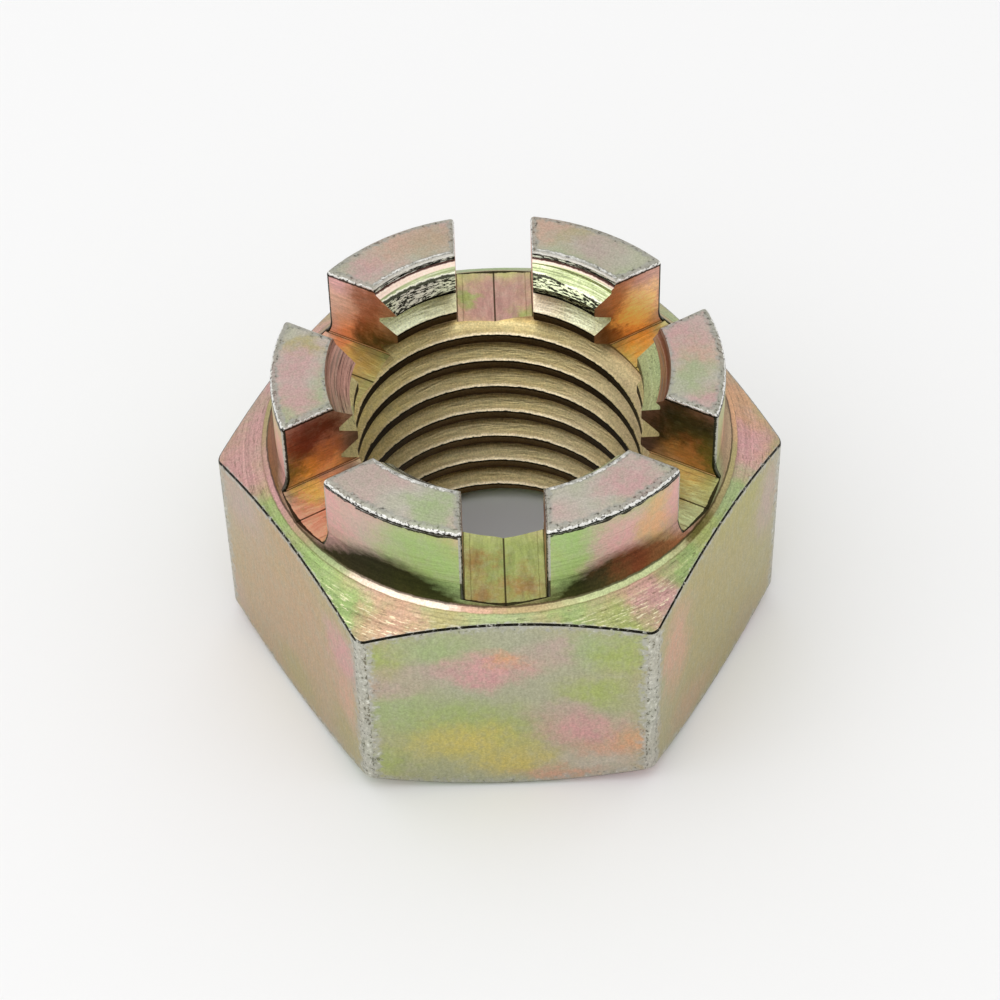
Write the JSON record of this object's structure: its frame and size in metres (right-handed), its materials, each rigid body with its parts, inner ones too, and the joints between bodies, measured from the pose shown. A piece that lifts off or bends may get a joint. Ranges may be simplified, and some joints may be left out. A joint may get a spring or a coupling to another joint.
{
  "type": "castle nut",
  "caption": "Hexagonal castle nut with a round slotted crown for a split pin and a coarse metric thread, in yellow-passivated zinc plate.",
  "frame": {"origin": "centre of the bearing face, on the axis of the thread", "axes": "+Z along the axis from the bearing face to the crown, +X through a corner of the hexagon, +Y through the middle of a flat and of a slot"},
  "size_m": [0.0528, 0.046, 0.0324],
  "materials": {
    "plated_steel": "zinc plated, yellow iridescent passivation"
  },
  "bodies": {
    "root": {"castle_nut": "plated_steel"}
  },
  "joints": []
}
